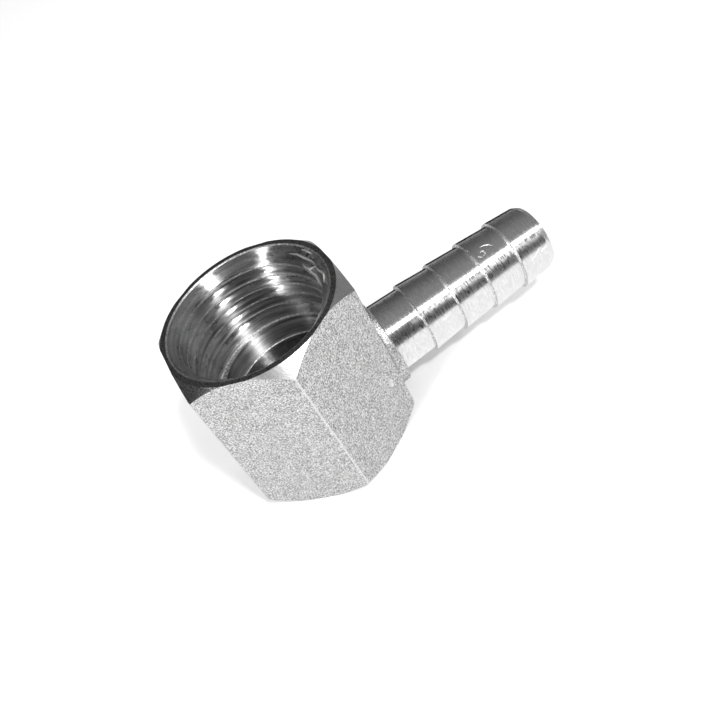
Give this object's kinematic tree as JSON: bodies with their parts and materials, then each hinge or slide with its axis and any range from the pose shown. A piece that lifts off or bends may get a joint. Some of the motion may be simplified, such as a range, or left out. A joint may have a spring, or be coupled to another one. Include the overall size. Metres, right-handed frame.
{
  "type": "hose elbow fitting",
  "caption": "Ninety-degree elbow with a female threaded hexagon at one end and a barbed hose tail at the other.",
  "frame": {"origin": "centre of the closed end, on the axis of the threaded socket", "axes": "+Z out of the threaded mouth, +X along the hose tail towards its tip"},
  "size_m": [0.0529, 0.0276, 0.0268],
  "materials": {
    "nickel_plate": "nickel-plated brass: grit-blasted flats and collar, bright turned thread, chamfers and tail"
  },
  "bodies": {
    "root": {"elbow_body": "nickel_plate"}
  },
  "joints": []
}
